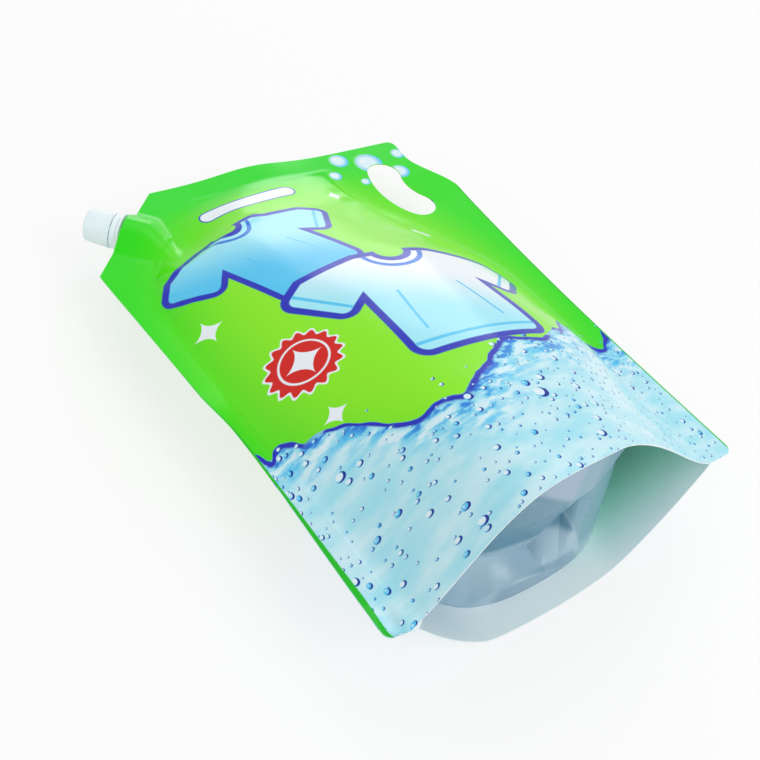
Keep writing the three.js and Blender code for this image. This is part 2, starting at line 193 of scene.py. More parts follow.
# creases and pulls of the thin film, in mm of flat film
creases = {
    "shoulder": [(-108, 240), (-96, 231), (-80.5, 225), (-67, 230.5), (-46, 239), (-30, 246)],
    "shoulderRise": 1.3, "shoulderWidth": 3.4, "dent": (-60, 277), "dentDepth": 1.2, "dentWidth": 5,
    "pulls": 26, "pullPlaces": (50, 262), "pullSlant": (-0.35, 0.35), "pullRise": (0.25, 0.75),
    "pullWidth": (3.5, 6.5), "pullReach": (16, 40), "pullStart": 7, "seed": 11,
    "swell": 0.3, "swellRuns": (8.7, 31, 11.3, 40), "sealLine": 0.5, "sealLineWidth": 1.3, "sealFade": 5,
    "footFade": (26, 34),  # start and run of the fade above the skirts
}


def pathDistance(u, v, path):
    nearest = np.full(np.shape(u), np.inf)
    for (u0, v0), (u1, v1) in zip(path, path[1:]):
        along = ((u - u0) * (u1 - u0) + (v - v0) * (v1 - v0)) / ((u1 - u0) ** 2 + (v1 - v0) ** 2)
        along = np.clip(along, 0, 1)
        nearest = np.minimum(nearest, np.hypot(u - mix(u0, u1, along), v - mix(v0, v1, along)))
    return nearest


def filmPulls(u, v):  # short waves that run in from the side seals
    draw = np.random.default_rng(creases["seed"])
    lift = np.zeros(np.shape(u))
    for k in range(creases["pulls"]):
        fromRight = k % 2 == 0
        at, slant = draw.uniform(*creases["pullPlaces"]), draw.uniform(*creases["pullSlant"])
        rise, width, reach = (draw.uniform(*creases[key]) for key in ("pullRise", "pullWidth", "pullReach"))
        inward = rightSeal(v) - u if fromRight else u - leftSeal(v)
        off = (v - at - slant * inward) / width
        fade = smooth(inward / creases["pullStart"]) * (1 - smooth(inward / reach))
        lift += rise * fade * (1 - 2 * off**2) * np.exp(-(off**2))
    return lift


def filmDetail(u, v):
    acrossU, acrossV, alongV, alongU = creases["swellRuns"]
    swell = creases["swell"] * np.sin(u / acrossU + v / acrossV) * np.sin(v / alongV - u / alongU)
    lift = filmPulls(u, v) + swell
    shoulder = pathDistance(u, v, creases["shoulder"]) / creases["shoulderWidth"]
    lift += creases["shoulderRise"] * np.exp(-(shoulder**2))
    dent = np.hypot(u - creases["dent"][0], v - creases["dent"][1]) / creases["dentWidth"]
    lift -= creases["dentDepth"] * np.exp(-(dent**2))
    # distance from the nearest seal
    inside = np.minimum(np.minimum(rightSeal(v) - u, u - leftSeal(v)), fillTop - v)
    line = np.exp(-((inside / creases["sealLineWidth"]) ** 2))
    start, run = creases["footFade"]
    lift = lift * smooth(inside / creases["sealFade"]) + creases["sealLine"] * line
    return lift * smooth((v - start) / run)


def frontPoint(u, v):
    arch = frontArch(acrossFill(u, v), smooth(1 - v / pouch["frontFootRun"]))
    belly = pouch["crown"] * dome(v / fillTop, *pouch["frontRise"]) * arch * spoutDart(u, v)
    filled = np.hypot(belly, spoutCone(u, v)) + filmDetail(u, v)
    return placed(u, v, 1, seamHeight(u, v) + pouch["ply"] + np.maximum(filled, 0))


def backPoint(u, v):
    s = np.abs(acrossFill(u, v))
    nearFoot = smooth(1 - v / pouch["backFootRun"])
    hang = dome(s, mix(*pouch["backPower"], nearFoot), mix(*pouch["backFullness"], nearFoot))
    seam = seamHeight(u, v)
    belly = mix(*pouch["backOverfill"], nearFoot) * seam * dome(v / fillTop, *pouch["backRise"]) * hang
    z = seam - pouch["ply"] - np.hypot(belly, spoutCone(u, v))
    blend = pouch["tableBlend"]
    pressed = np.clip(z + blend, 0, 2 * blend) ** 2 / (4 * blend)
    return placed(u, v, s * s, np.where(z > blend, z, pressed))


def filmColumns(v):
    even = np.linspace(-1, 1, pouch["bellyColumns"] + 1)
    places = (even + np.sin(np.pi / 2 * even))[:, None] / 2
    left, right = leftSeal(v), rightSeal(v)
    leftStrip = np.linspace(leftEdge(v), left, pouch["leftColumns"], endpoint=False)
    rightStrip = np.linspace(right, rightEdge(v), pouch["rightColumns"] + 1)[1:]
    return np.concatenate([leftStrip, (left + right + places * (right - left)) / 2, rightStrip])


# the open foot: two skirts and the gusset folded in between them, in mm
foot = {
    "skirtDepth": 13.5, "sealRise": 78, "sealCurve": 3.2, "skirtFilm": 0.6, "lipInset": 0.002,
    "leftReach": 0.953, "rightReach": 0.972, "outside": 13.5,
    "foldDepth": 4, "foldWidth": 1.5, "foldPlaces": [-1, -0.4, -0.02, 0.11, 0.14, 0.21, 0.6, 1],
    "foldShares": [0.5, 0.76, 0.86, 0.64, 0.38, 0.17, 0.3, 0.5],  # 0 at the front skirt, 1 at the back skirt
    "shelfPlaces": [-1, -0.43, -0.33, -0.19, 0, 0.11, 0.25, 1],
    "shelfHeights": [0.5, 1.5, 12, 17, 12, 6, 0.8, 0.5],  # the liquid pushes the lower half out
    "browReach": 4, "browPlaces": [-1, -0.41, -0.08, 0.11, 0.21, 1], "browDrops": [1, 28, 48, 40, 8, 1],
    "columns": 150, "skirtRows": 18, "edgeRows": 6, "faceRows": 11, "creaseAngle": 7,
}


def insetFilm(surface, u, v, depth):
    step = 0.5
    alongU = surface(u + step, v) - surface(u - step, v)
    alongV = surface(u, v + step) - surface(u, v)
    normal = np.cross(alongU, alongV)
    return surface(u, v) - depth * normal / np.linalg.norm(normal, axis=-1, keepdims=True)


def footSpace():
    # rows of points round the hollow, from the front skirt over the fold to the back skirt
    s = np.linspace(-foot["leftReach"], foot["rightReach"], foot["columns"])
    seal = mix(foot["skirtDepth"], foot["sealRise"], np.abs(s) ** foot["sealCurve"])
    v = np.linspace(foot["lipInset"], 1, foot["skirtRows"])[:, None] * seal
    u = (leftSeal(v) + rightSeal(v) + s * (rightSeal(v) - leftSeal(v))) / 2
    front = insetFilm(frontPoint, u, v, foot["skirtFilm"])
    back = insetFilm(backPoint, u, v, -foot["skirtFilm"])
    frontSeal, backSeal = front[-1], back[-1]
    share = np.interp(s, foot["foldPlaces"], foot["foldShares"])
    fold = mix(frontSeal, backSeal, share[:, None])
    fold[:, 1] = np.maximum(frontSeal[:, 1], backSeal[:, 1]) + foot["foldDepth"]
    brow, shelf = frontSeal.copy(), backSeal.copy()
    brow[:, 1] -= foot["browReach"] * (1 - np.abs(s))
    brow[:, 2] -= np.interp(s, foot["browPlaces"], foot["browDrops"])
    shelf[:, 2] += np.interp(s, foot["shelfPlaces"], foot["shelfHeights"])
    halfFold = np.array([0, 0, foot["foldWidth"] / 2])
    steps = lambda count: np.linspace(0, 1, count + 1)[1:, None, None]
    mouth = np.array([0, -foot["outside"], 0])
    sides = []
    for skirt, edge, end in ((front, brow, fold + halfFold), (back, shelf, fold - halfFold)):
        inner = [mix(skirt[-1], edge, steps(foot["edgeRows"])), mix(edge, end, steps(foot["faceRows"]))]
        sides.append(np.concatenate([skirt[:1] + mouth, skirt, *inner]))
    return sides


def stripFaces(a, b):
    return np.stack([a[:-1], a[1:], b[1:], b[:-1]], -1)


def twoSheets(rows, columns):  # numbers of the points in two grids, one under the other, and their faces
    at = np.arange(rows * columns).reshape(rows, columns)
    quads = np.concatenate([stripFaces(a, b) for a, b in zip(at, at[1:])])
    return at, at + at.size, [quads, quads[:, ::-1] + at.size]


@contextmanager
def editing(mesh):
    work = bmesh.new()
    work.from_mesh(mesh)
    yield work
    work.to_mesh(mesh)
    work.free()


def newMesh(name, points, faces, faceInks, inkList, film=None, unit=0.001, weld=0):
    mesh = bpy.data.meshes.new(name)
    places = (np.asarray(points).reshape(-1, 3) * unit).tolist()
    mesh.from_pydata(places, [], [list(map(int, face)) for face in faces])
    for ink in inkList:
        mesh.materials.append(ink)
    mesh.polygons.foreach_set("material_index", np.asarray(faceInks, dtype=np.int32))
    if film is not None:  # flat film places, in metres
        layer = mesh.uv_layers.new(name="film")
        corners = np.empty(len(mesh.loops), dtype=np.int32)
        mesh.loops.foreach_get("vertex_index", corners)
        flat = np.asarray(film).reshape(-1, 2)[corners] * 0.001
        layer.uv.foreach_set("vector", flat.astype(np.float32).ravel())
    with editing(mesh) as work:
        if weld:
            bmesh.ops.remove_doubles(work, verts=work.verts, dist=weld)
        bmesh.ops.recalc_face_normals(work, faces=work.faces)
    piece = bpy.data.objects.new(name, mesh)
    scene.collection.objects.link(piece)
    return piece


def fill(tree, node, values):  # inputs are linked or set
    for label, value in values.items():
        value = value.socket if isinstance(value, Field) else value
        if isinstance(value, bpy.types.NodeSocket):
            tree.links.new(value, node.inputs[label])
        else:
            node.inputs[label].default_value = value
    return node


def addNode(tree, kind, values=None, **settings):
    node = tree.nodes.new(kind)
    for key, value in settings.items():
        setattr(node, key, value)
    return fill(tree, node, values or {})


# numbers that vary over a material, with plain arithmetic on nodes
class Field:
    def __init__(self, tree, socket):
        self.tree, self.socket = tree, socket

    def math(self, kind, *others, clamp=False):
        values = dict(enumerate((self, *others)))
        node = addNode(self.tree, "ShaderNodeMath", values, operation=kind, use_clamp=clamp)
        return Field(self.tree, node.outputs[0])

    def __add__(self, other):
        return self.math("ADD", other)

    def __sub__(self, other):
        return self.math("SUBTRACT", other)

    def __mul__(self, other):
        return self.math("MULTIPLY", other)

    def __neg__(self):
        return self.math("MULTIPLY", -1)

    def least(self, other):
        return self.math("MINIMUM", other)

    def most(self, other):
        return self.math("MAXIMUM", other)

    def size(self):
        return self.math("ABSOLUTE")

    def wave(self, length, shift=0):
        return self.math("MULTIPLY_ADD", 2 * math.pi / length, shift).math("SINE")

    def ramp(self, low, high):  # 0 at low, 1 at high, with soft ends
        values = {"Value": self, "From Min": low, "From Max": high}
        node = addNode(self.tree, "ShaderNodeMapRange", values, interpolation_type="SMOOTHSTEP")
        return Field(self.tree, node.outputs["Result"])

    def cover(self, edge=0.5):  # 1 inside a shape given by its distance, 0 outside
        return self.math("MULTIPLY_ADD", -1 / edge, 0.5, clamp=True)


def length(x, y):
    return (x * x + y * y).math("SQRT")


def turnedTo(u, v, place, degrees):
    c, s = math.cos(math.radians(degrees)), math.sin(math.radians(degrees))
    x, y = u - place[0], v - place[1]
    return x * c + y * s, y * c - x * s


def roundBox(x, y, halfX, halfY, radius):
    overX, overY = x.size() - (halfX - radius), y.size() - (halfY - radius)
    return length(overX.most(0), overY.most(0)) + overX.most(overY).least(0) - radius


def stripe(x, middle, half):
    return (x - middle).size() - half


def discIn(x, y, radius, left, up, share):  # a disc inside a round one, by shares of its radius
    return length(x + radius * left, y - radius * up) - radius * share


def sparkle(x, y, reach, hollow=0.62):  # a star of four points with hollow sides
    arms = x.size().math("POWER", hollow) + y.size().math("POWER", hollow)
    return arms.math("POWER", 1 / hollow) - reach


def tone(red, green, blue):  # screen colour to the light it stands for
    light = [c / 255 for c in (red, green, blue)]
    return (*(c / 12.92 if c <= 0.04045 else ((c + 0.055) / 1.055) ** 2.4 for c in light), 1)


class Print:  # a stack of inks on one material
    def __init__(self, name):
        self.ink = bpy.data.materials.new(name)
        self.ink.use_nodes = True
        self.tree = self.ink.node_tree
        self.shader = self.tree.nodes["Principled BSDF"]
        self.color = None

    def add(self, kind, values=None, **settings):
        return addNode(self.tree, "ShaderNode" + kind, values, **settings)

    def filmPlace(self):  # flat film places in mm
        return self.inMillimetres(self.add("UVMap", uv_map="film").outputs["UV"])

    def objectPlace(self):
        return self.inMillimetres(self.add("TexCoord").outputs["Object"])

    def inMillimetres(self, socket):
        self.place = self.add("VectorMath", {0: socket, "Scale": 1000}, operation="SCALE").outputs[0]
        return self.split("XYZ", self.place)

    def split(self, kind, socket):
        return [Field(self.tree, out) for out in self.add("Separate" + kind, {0: socket}).outputs]

    def noise(self, grain, detail=2, roughness=0.5, stretch=(1, 1, 1), turn=0):
        turning = (0, 0, math.radians(turn))
        shape = self.add("Mapping", {"Vector": self.place, "Scale": stretch, "Rotation": turning}).outputs[0]
        values = {"Vector": shape, "Scale": 1 / grain, "Detail": detail, "Roughness": roughness}
        return Field(self.tree, self.add("TexNoise", values).outputs["Fac"])

    # place from the nearest seed in mm, and random numbers for each seed
    def cells(self, spacing, randomness=0.9):
        values = {"Vector": self.place, "Scale": 1 / spacing, "Randomness": randomness}
        seeds = self.add("TexVoronoi", values, voronoi_dimensions="2D").outputs
        away = self.add("VectorMath", {0: self.place, 1: seeds["Position"]}, operation="SUBTRACT")
        return self.split("XYZ", away.outputs[0])[:2], self.split("Color", seeds["Color"])

    def blend(self, one, two, mask):  # inputs 6 and 7 and output 2 are the node's colours
        return self.add("Mix", {"Factor": mask, 6: one, 7: two}, data_type="RGBA").outputs[2]

    def lay(self, color, mask=None):
        self.color = color if mask is None else self.blend(self.color, color, mask)

    def layClouds(self, look):
        self.lay(self.blend(look["shade"], look["light"], self.noise(look["clouds"])))

    def finish(self, look):  # roughness in patches, and bumps: grain, detail and share of each layer
        roughness = self.noise(look["patches"]) * look["spread"] + look["roughness"]
        layers = [self.noise(grain, detail) * share for grain, detail, share in look["bumps"]]
        bumps = layers[0]
        for layer in layers[1:]:
            bumps = bumps + layer
        bump = self.add("Bump", {"Height": bumps, "Strength": 1, "Distance": look["depth"] * 0.001})
        surface = {"Base Color": self.color, "Roughness": roughness, "Normal": bump.outputs["Normal"]}
        fill(self.tree, self.shader, {**surface, **look["shader"]})
        return self.ink


# inks of the print
inks = {
    "lime": tone(140, 238, 28), "leaf": tone(40, 222, 4), "topGreen": tone(46, 222, 44),
    "edgeGreen": tone(30, 190, 34), "navy": tone(22, 40, 150), "royal": tone(30, 43, 187),
    "sea": tone(34, 120, 222), "sky": tone(84, 200, 244), "aqua": tone(164, 236, 250),
    "water": tone(166, 230, 244), "mist": tone(206, 241, 249), "foam": tone(222, 244, 252),
    "white": tone(240, 246, 253), "red": tone(214, 28, 20),
}


# the green ground, in mm of film: lime in the middle, greener round it and along the top
ground = {"middle": (-4, 140), "reach": (126, 176), "fade": (0.55, 1.02), "topFade": (268, 290)}


def limeField(sheet, u, v):
    (middleU, middleV), (reachU, reachV) = ground["middle"], ground["reach"]
    spread = length((u - middleU) * (1 / reachU), (v - middleV) * (1 / reachV))
    sheet.lay(sheet.blend(inks["lime"], inks["leaf"], spread.ramp(*ground["fade"])))
    sheet.lay(inks["topGreen"], v.ramp(*ground["topFade"]))


# the water at the foot, in mm of film: a swelling crest, cyan that pales out below it, and drops
water = {
    "line": 68, "swell": 9, "swellLength": 190, "swellShift": 0.9,
    "ripple": 4.5, "rippleLength": 74, "rippleShift": 2.2,
    "leftRise": 46, "leftRun": (52, 120), "rightRise": 34, "rightRun": (6, 116),
    "throw": 14, "sideThrow": 30, "sideRun": (20, 116), "edge": 0.6,
    "drift": {"grain": 26, "detail": 3, "roughness": 0.55, "stretch": (1, 2.2, 1)},
    "fingers": {"grain": 26, "detail": 1.6, "roughness": 0.4, "stretch": (1.5, 0.6, 1)},
    "curls": {"grain": 9, "detail": 3, "roughness": 0.55, "stretch": (0.8, 1.7, 1), "turn": -14},
    # ramps over the noises, and depths below the crest
    "mistRamp": (0.36, 0.66), "cyanRamp": (0.36, 0.6), "cyanDepth": (6, 30), "curlReach": 34,
    "foamRamp": (0.52, 0.6), "foamStart": (3, 8), "foamEnd": (-30, -14), "foamShare": 0.85,
    "seaRamp": (0.5, 0.4), "seaEnd": (-15, -3),
    "crest": 5, "crestLeast": 0.4, "crestEdge": 1.4, "crestRamp": (0.3, 0.46),
    # drops of three sizes: spacing, least radius, spread and share
    "drops": ((5.4, 0.5, 0.9, 0.62), (10, 0.6, 1.6, 0.56), (23, 1.5, 2.4, 0.44)),
}


def waterField(sheet, u, v):
    drift, fingers, curls = (sheet.noise(**water[name]) for name in ("drift", "fingers", "curls"))
    line = u.wave(water["swellLength"], water["swellShift"]) * water["swell"]
    line = line + u.wave(water["rippleLength"], water["rippleShift"]) * water["ripple"]
    sides = u.ramp(*water["rightRun"]) * water["rightRise"] + (-u).ramp(*water["leftRun"]) * water["leftRise"]
    # the crest is thrown higher at both sides
    throw = (fingers - 0.5) * (u.size().ramp(*water["sideRun"]) * water["sideThrow"] + water["throw"])
    below = line + water["line"] + sides - v + throw
    wet = (-below).cover(water["edge"])
    pale = sheet.blend(inks["water"], inks["mist"], drift.ramp(*water["mistRamp"]))
    cyan = sheet.blend(inks["sky"], inks["water"], curls.ramp(*water["cyanRamp"]))
    reach = below + (curls - 0.5) * water["curlReach"]  # curls carry the cyan down into the pale water
    sheet.lay(sheet.blend(cyan, pale, reach.ramp(*water["cyanDepth"])), wet)
    foam = curls.ramp(*water["foamRamp"]) * below.ramp(*water["foamStart"]) * (-below).ramp(*water["foamEnd"])
    sheet.lay(inks["foam"], foam * water["foamShare"])
    sheet.lay(inks["sea"], curls.ramp(*water["seaRamp"]) * wet * (-below).ramp(*water["seaEnd"]))
    crest = below - water["crestLeast"] - (drift * 2 + curls) * (water["crest"] / 3)
    sheet.lay(inks["royal"], crest.cover(water["crestEdge"]) * wet * drift.ramp(*water["crestRamp"]))
    for sizes in water["drops"]:
        dropPicture(sheet, below, *sizes)


# one drop: discs by shares of its radius, and how far above the crest drops are thrown
drop = {
    "spray": 16, "sprayRun": 28.8, "edge": 0.3, "lit": (0.4, 0.36, 0.96), "glint": (0.3, 0.36, 0.2),
    "pale": (0.2, 0.25, 0.75), "paleEdge": 0.5, "paleDraw": (0.2, 0.5),
}


def dropPicture(sheet, below, spacing, least, spread, share):
    (x, y), (pick, size, light) = sheet.cells(spacing)
    radius = size * size * spread + least
    wet = (below + drop["spray"]).ramp(0, drop["sprayRun"])
    here = pick.math("LESS_THAN", wet * share)
    rim = length(x, y) - radius
    sheet.lay(inks["sky"], rim.cover(drop["edge"]) * here)
    pale = discIn(x, y, radius, *drop["pale"]).cover(drop["paleEdge"])
    sheet.lay(inks["foam"], pale * here * light.ramp(*drop["paleDraw"]))
    shade = rim.most(-discIn(x, y, radius, *drop["lit"]))
    sheet.lay(inks["navy"], shade.cover(drop["edge"]) * here)
    sheet.lay(inks["white"], discIn(x, y, radius, *drop["glint"]).cover(drop["edge"]) * here)


# two pictures of shirts in place of lettering: place on the film in mm, turn in degrees and size
shirts = [
    {"place": (-44, 212), "turn": 14, "scale": 1.1, "body": "aqua", "hem": "sky"},
    {"place": (2, 136), "turn": -9, "scale": 1.36, "body": "white", "hem": "aqua"},
]
# a shirt's cut at scale 1, in mm from its middle: half sizes and corner of boxes, middle and half of stripes
shirtCut = {
    "body": (25, 32, 4), "bodyDrop": 6, "arm": (17, 11.5, 3), "armPlace": (31, 13), "armTurn": -42,
    "neckHeight": 29, "neckRadius": 9.5, "shoulderHeight": 31, "shoulderFall": 0.3, "shoulderScale": 0.96,
    "border": 3.2, "fadeUp": 0.02, "fadeAcross": 0.012, "fadeStart": 0.5, "fade": (0, 0.9),
    "collar": (13, 1.1), "cuff": (12.5, 0.8), "hem": (-33.5, 0.8),
    "fold": (13, 0.55), "foldSlant": 0.12, "foldSpan": (-14, 13), "foldEdge": 0.6,
}


def shirtPicture(sheet, u, v, shirt):
    cut, shrink = shirtCut, 1 / shirt["scale"]
    x, y = turnedTo(u, v, shirt["place"], shirt["turn"])
    x, y = x * shrink, y * shrink
    side = x.size()
    body = roundBox(x, y + cut["bodyDrop"], *cut["body"])
    armX, armY = turnedTo(side, y, cut["armPlace"], cut["armTurn"])
    arm = roundBox(armX, armY, *cut["arm"])
    neck = length(x, y - cut["neckHeight"])
    shoulder = (y + side * cut["shoulderFall"] - cut["shoulderHeight"]) * cut["shoulderScale"]
    outline = body.least(arm).most(shoulder).most(-(neck - cut["neckRadius"]))
    sheet.lay(inks["royal"], (outline - cut["border"]).cover())
    rise = y * cut["fadeUp"] + x * cut["fadeAcross"] + cut["fadeStart"]
    cloth = sheet.blend(inks[shirt["hem"]], inks[shirt["body"]], rise.ramp(*cut["fade"]))
    sheet.lay(cloth, outline.cover())
    sheet.lay(inks["sea"], stripe(neck, *cut["collar"]).most(outline).cover())
    cuff = stripe(armX, *cut["cuff"]).most(arm)
    hem = stripe(y, *cut["hem"]).most(body)
    sheet.lay(inks["sky"], cuff.least(hem).cover())
    fold = stripe(side + y * cut["foldSlant"], *cut["fold"]).most(stripe(y, *cut["foldSpan"]))
    sheet.lay(inks["sky"], fold.cover(cut["foldEdge"]))


badge = {"place": (-78, 126), "radius": 16, "scallop": 1.3, "lobes": 16, "border": 1.2, "ring": (11.2, 0.5),
         "ringEdge": 0.4, "star": 9.5}


def badgePicture(sheet, u, v):
    x, y = turnedTo(u, v, badge["place"], 0)
    angle = y.math("ARCTAN2", x)
    reach = length(x, y)
    edge = reach - (angle * badge["lobes"]).math("COSINE") * badge["scallop"] - badge["radius"]
    sheet.lay(inks["white"], (edge - badge["border"]).cover())
    sheet.lay(inks["red"], edge.cover())
    sheet.lay(inks["white"], stripe(reach, *badge["ring"]).cover(badge["ringEdge"]))
    sheet.lay(inks["white"], sparkle(x, y, badge["star"]).cover())


pill = {"place": (-22, 266), "turn": 3, "half": (30, 4.6), "border": 0.9}


def pillPicture(sheet, u, v):
    x, y = turnedTo(u, v, pill["place"], pill["turn"])
    shape = roundBox(x, y, *pill["half"], pill["half"][1])
    sheet.lay(inks["royal"], (shape - pill["border"]).cover())
    sheet.lay(inks["white"], shape.cover())


# bubbles beside the handle: place and radius in mm of film, and discs by shares of the radius
bubbles = {
    "places": [((74, 284), 9), ((56, 292), 6), ((90, 270), 6),
               ((46, 279), 4), ((98, 287), 4.5), ((62, 268), 3)],
    "edge": 0.4, "pale": (0.12, 0.12, 0.8), "paleEdge": 0.5, "glint": (0.35, 0.35, 0.2),
}


def bubblePicture(sheet, u, v, place, radius):
    x, y = turnedTo(u, v, place, 0)
    sheet.lay(inks["sky"], (length(x, y) - radius).cover(bubbles["edge"]))
    sheet.lay(inks["foam"], discIn(x, y, radius, *bubbles["pale"]).cover(radius * bubbles["paleEdge"]))
    sheet.lay(inks["white"], discIn(x, y, radius, *bubbles["glint"]).cover())


glints = {"places": [((62, 206), 11), ((-97, 178), 8), ((32, 258), 6), ((-84, 92), 6)], "edge": 0.6}
border = {"left": 3.5, "leftRun": (190, -30), "right": 1}  # the back film shows past the front's edge
filmLook = {"patches": 30, "spread": 0.1, "roughness": 0.17, "bumps": ((22, 2, 1), (5, 2, 0.1)), "depth": 0.3,
            "shader": {"Specular IOR Level": 0.27}}


def printedFront():
    sheet = Print("printedFront")
    u, v, _ = sheet.filmPlace()
    limeField(sheet, u, v)
    waterField(sheet, u, v)
    leftBorder = u + halfWidth - v.ramp(*border["leftRun"]) * border["left"]
    sheet.lay(inks["edgeGreen"], leftBorder.least(-u + halfWidth - border["right"]).cover())
    for place, radius in bubbles["places"]:
        bubblePicture(sheet, u, v, place, radius)
    for shirt in shirts:
        shirtPicture(sheet, u, v, shirt)
    pillPicture(sheet, u, v)
    badgePicture(sheet, u, v)
    for place, reach in glints["places"]:
        x, y = turnedTo(u, v, place, 0)
        sheet.lay(inks["white"], sparkle(x, y, reach).cover(glints["edge"]))
    return sheet.finish(filmLook)


def printedBack():
    sheet = Print("printedBack")
    u, v, _ = sheet.filmPlace()
    limeField(sheet, u, v)
    waterField(sheet, -u, v)
    return sheet.finish(filmLook)


# the unprinted side of the skirts: pale, and green where the print behind it shows through
skirtLook = {
    "shade": tone(230, 247, 253), "light": tone(240, 251, 255), "clouds": 40,
    "green": tone(176, 242, 214), "greenAcross": (0, 58), "greenUp": (-152, -112),
    "patches": 18, "spread": 0.1, "roughness": 0.3, "bumps": ((12, 2, 1),), "depth": 0.2,
    "shader": {"Subsurface Weight": 0.6, "Subsurface Radius": (0.003, 0.003, 0.003)},
}


def skirtInside():
    sheet = Print("skirtInside")
    x, y, _ = sheet.objectPlace()
    sheet.layClouds(skirtLook)
    sheet.lay(skirtLook["green"], x.ramp(*skirtLook["greenAcross"]) * y.ramp(*skirtLook["greenUp"]))
    return sheet.finish(skirtLook)


# the gusset's folds get painted shade one by one, darker where the film turns away from the mouth; places in
# mm
gussetLook = {
    "shade": tone(154, 187, 205), "light": tone(172, 200, 215), "clouds": 34,
    # painted shadow under the shelf, with its runs towards the front and down
    "under": tone(128, 164, 186), "shadowFront": (133.4, 135), "shadowTop": (-17, -11),
    "foldAt": -4, "foldTop": 58, "foldSlant": 0.55, "leftOfFold": (-1, 2),
    # painted shade on the brow, and a lighter painted shade on the ledge over it
    "brow": tone(88, 140, 164), "browShadeUp": (25, 31),
    "ledgeShade": tone(150, 176, 198), "ledgeSlant": 0.7, "ledgeUp": (56, 60),
    # painted shade right of the fold
    "right": tone(122, 166, 184), "rightOfFold": (-1.5, 1.5), "rightShadeUp": (2, 16),
    "patches": 18, "spread": 0.12, "roughness": 0.2, "bumps": ((14, 2, 1),), "depth": 0.35, "shader": {},
}


def gussetFilmPaintedShade():
    look, sheet = gussetLook, Print("gussetFilmPaintedShade")
    x, y, z = sheet.objectPlace()
    sheet.layClouds(look)
    # painted shadow under the shelf
    sheet.lay(look["under"], (-y).ramp(*look["shadowFront"]) * (-z).ramp(*look["shadowTop"]))  # under the shelf
    pastFold = x + (z - look["foldTop"]).least(0) * look["foldSlant"] - look["foldAt"]
    beforeFold = (-pastFold).ramp(*look["leftOfFold"])
    # painted shade on the brow, left of the fold
    sheet.lay(look["brow"], z.ramp(*look["browShadeUp"]) * beforeFold)
    # painted shade on the ledge, lighter than the brow's
    ledgeShade = (z + x * look["ledgeSlant"]).ramp(*look["ledgeUp"])  # over the brow
    sheet.lay(look["ledgeShade"], ledgeShade * beforeFold)
    # painted shade on the facet right of the fold
    sheet.lay(look["right"], pastFold.ramp(*look["rightOfFold"]) * z.ramp(*look["rightShadeUp"]))
    return sheet.finish(look)


plasticLook = {
    "clouds": 6, "patches": 3, "spread": 0.1, "roughness": 0.36, "bumps": ((0.8, 3, 1),), "depth": 0.04,
    "shader": {"Subsurface Weight": 0.3, "Subsurface Radius": (0.002, 0.002, 0.002)},
}


def mouldedPlastic(name, shade, light):
    sheet = Print(name)
    sheet.objectPlace()
    sheet.layClouds({**plasticLook, "shade": shade, "light": light})
    return sheet.finish(plasticLook)


frontInk, backInk, skirtInk, gussetInk = printedFront(), printedBack(), skirtInside(), gussetFilmPaintedShade()
capInk = mouldedPlastic("capPlastic", tone(232, 248, 254), tone(238, 251, 255))
spoutInk = mouldedPlastic("spoutPlastic", tone(228, 240, 242), tone(236, 246, 247))
print("inks mixed:", len(frontInk.node_tree.nodes), "nodes on the front print")


def filmShell():
    low, high, count = pouch["skirtRows"]
    top = pouch["topRows"]
    v = np.concatenate([pouch["footRows"], np.linspace(low, high, count, endpoint=False),
                        np.linspace(high, cutStart, pouch["bellyRows"], endpoint=False),
                        np.linspace(cutStart, top[0], pouch["cornerRows"], endpoint=False), top])
    u = filmColumns(v).T
    v = np.broadcast_to(v[:, None], u.shape)
    rows, columns = u.shape
    points = np.concatenate([frontPoint(u, v).reshape(-1, 3), backPoint(u, v).reshape(-1, 3)])
    film = np.tile(np.stack([u, v], -1).reshape(-1, 2), (2, 1))
    at, below, faces = twoSheets(rows, columns)
    rim = np.concatenate([at[:, -1], at[-1, -2::-1], at[-2::-1, 0]])
    faces += [stripFaces(rim, rim + at.size), stripFaces(at[0], below[0])]
    faceInks = np.repeat([0, 1, 1, 2], [len(part) for part in faces])
    filmInks = [frontInk, backInk, skirtInk]
    return newMesh("pouch_film", points, np.concatenate(faces), faceInks, filmInks, film)


def footCutter():
    upper, lower = footSpace()
    rows, columns = upper.shape[:2]
    points = np.concatenate([upper.reshape(-1, 3), lower.reshape(-1, 3)])
    at, below, faces = twoSheets(rows, columns)
    faces += [stripFaces(at[0], below[0]), stripFaces(at[-1], below[-1]),
              stripFaces(at[:, 0], below[:, 0]), stripFaces(at[:, -1], below[:, -1])]
    onGusset = np.arange(len(faces[0])) >= foot["skirtRows"] * (columns - 1)
    ends = [np.full(len(part), part is faces[3]) for part in faces[2:]]
    faceInks = np.concatenate([onGusset, onGusset, *ends])
    footInks = [skirtInk, gussetInk]
    return newMesh("foot_space", points, np.concatenate(faces), faceInks, footInks, points[:, :2])


# the handle hole: a slot bent round the corner, in mm
handle = {
    "inset": 46.5, "drop": 45.5, "arcRadius": 34, "arcAngle": 58, "width": 21, "lean": 6, "heights": (10, 60),
    "steps": 28,
}


